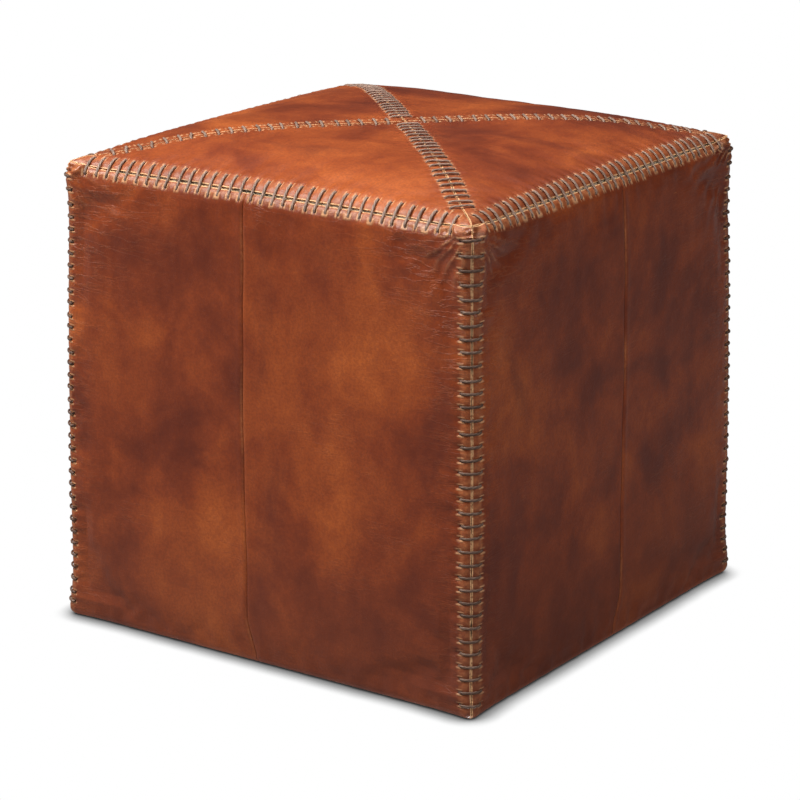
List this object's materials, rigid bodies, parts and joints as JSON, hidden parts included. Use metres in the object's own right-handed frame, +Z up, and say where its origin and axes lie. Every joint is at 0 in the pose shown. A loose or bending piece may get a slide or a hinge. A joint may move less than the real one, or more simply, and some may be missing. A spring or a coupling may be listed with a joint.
{
  "type": "moroccan leather pouf",
  "caption": "Square leather pouf, a firm cube seat with a domed top of triangles, hand-laced edges and seams, and a zip in the base.",
  "frame": {"origin": "middle of the footprint, on the floor", "axes": "+Z up; -Y out of the front face, which is the larger face in the picture; +X out of the right face. The zip runs along X under the base."},
  "size_m": [0.464, 0.464, 0.4687],
  "materials": {
    "leather": "satin",
    "waxed_cord": "satin",
    "seam_tape": "matte",
    "lining_cloth": "matte",
    "foam": "matte",
    "wadding": "matte",
    "zip_tape": "matte",
    "zip_brass": "satin",
    "zip_thread": "matte"
  },
  "bodies": {
    "pouf": {"top_panel_front": "leather", "top_panel_right": "leather", "top_panel_back": "leather", "top_panel_left": "leather", "side_panel_front_left": "leather", "side_panel_front_right": "leather", "side_panel_right_front": "leather", "side_panel_right_back": "leather", "side_panel_back_right": "leather", "side_panel_back_left": "leather", "side_panel_left_back": "leather", "side_panel_left_front": "leather", "base_panel_front": "leather", "base_panel_back": "leather", "seam_tape_front": "seam_tape", "seam_tape_right": "seam_tape", "seam_tape_back": "seam_tape", "seam_tape_left": "seam_tape", "lacing_upright_front_right": "waxed_cord", "lacing_upright_back_right": "waxed_cord", "lacing_upright_back_left": "waxed_cord", "lacing_upright_front_left": "waxed_cord", "lacing_top_edge_front": "waxed_cord", "lacing_top_edge_right": "waxed_cord", "lacing_top_edge_back": "waxed_cord", "lacing_top_edge_left": "waxed_cord", "lacing_diagonal_front_right": "waxed_cord", "lacing_diagonal_back_right": "waxed_cord", "lacing_diagonal_back_left": "waxed_cord", "lacing_diagonal_front_left": "waxed_cord", "lining_wall": "lining_cloth", "lining_top": "lining_cloth", "lining_base": "lining_cloth", "foam_core": "foam", "crown_pad": "wadding", "wadding_front": "wadding", "wadding_right": "wadding", "wadding_back": "wadding", "wadding_left": "wadding", "zip_tape_front": "zip_tape", "zip_tape_back": "zip_tape", "zip_teeth_front": "zip_brass", "zip_teeth_back": "zip_brass", "zip_stops": "zip_brass", "zip_stitching": "zip_thread"},
    "slider": {"zip_slider": "zip_brass"},
    "pull_tab": {"zip_pull_tab": "zip_brass"}
  },
  "joints": [
    {"name": "zip_slide", "type": "slide", "parent": "pouf", "child": "slider", "axis": [-1, 0, 0], "range_m": [0, 0.284]},
    {"name": "pull_tab_swing", "type": "hinge", "parent": "slider", "child": "pull_tab", "pos_m": [0.143, 0, 0.0056], "axis": [0, -1, 0], "range_deg": [0, 180]}
  ]
}
